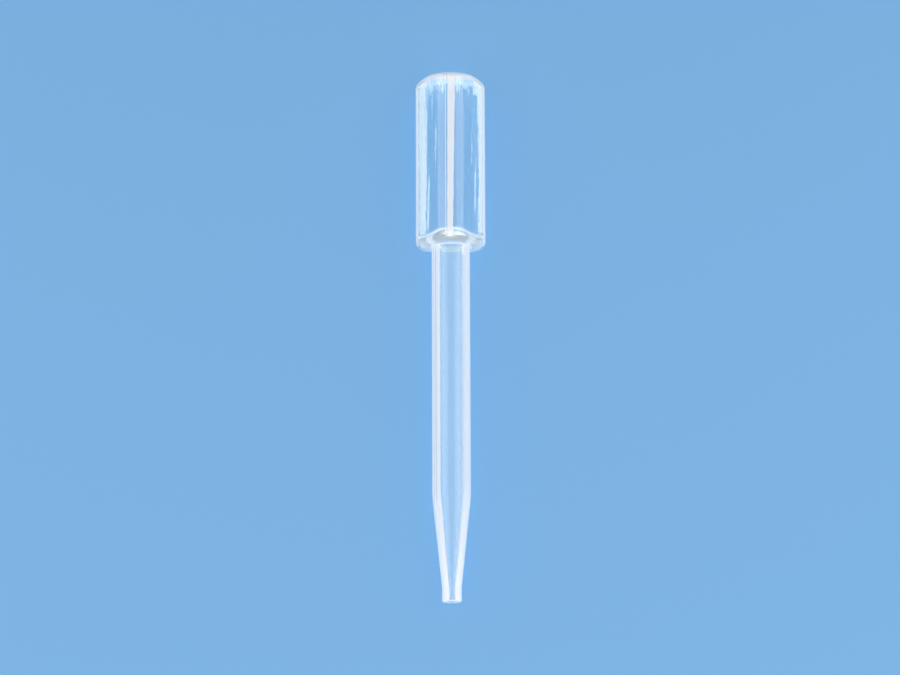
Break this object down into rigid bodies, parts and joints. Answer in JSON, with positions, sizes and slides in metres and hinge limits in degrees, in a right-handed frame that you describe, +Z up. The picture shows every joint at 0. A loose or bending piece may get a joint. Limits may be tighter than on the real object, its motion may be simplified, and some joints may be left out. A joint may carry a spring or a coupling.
{
  "type": "plastic dropper pipette",
  "caption": "One-piece translucent plastic dropper pipette with a domed, three-sided squeeze bulb, a round tube and a tapered dropping tip, lying on a flat of the bulb.",
  "frame": {"origin": "middle of the bounding box, on the surface that the pipette lies on", "axes": "+Y along the pipette towards the bulb's dome, +Z up through the bulb's upper rounded edge, +X across"},
  "size_m": [0.0136, 0.105, 0.0138],
  "materials": {
    "polyethylene": "moulded low-density polyethylene, natural and slightly milky, see-through with soft gloss"
  },
  "bodies": {
    "root": {"pipette_body": "polyethylene"}
  },
  "joints": []
}
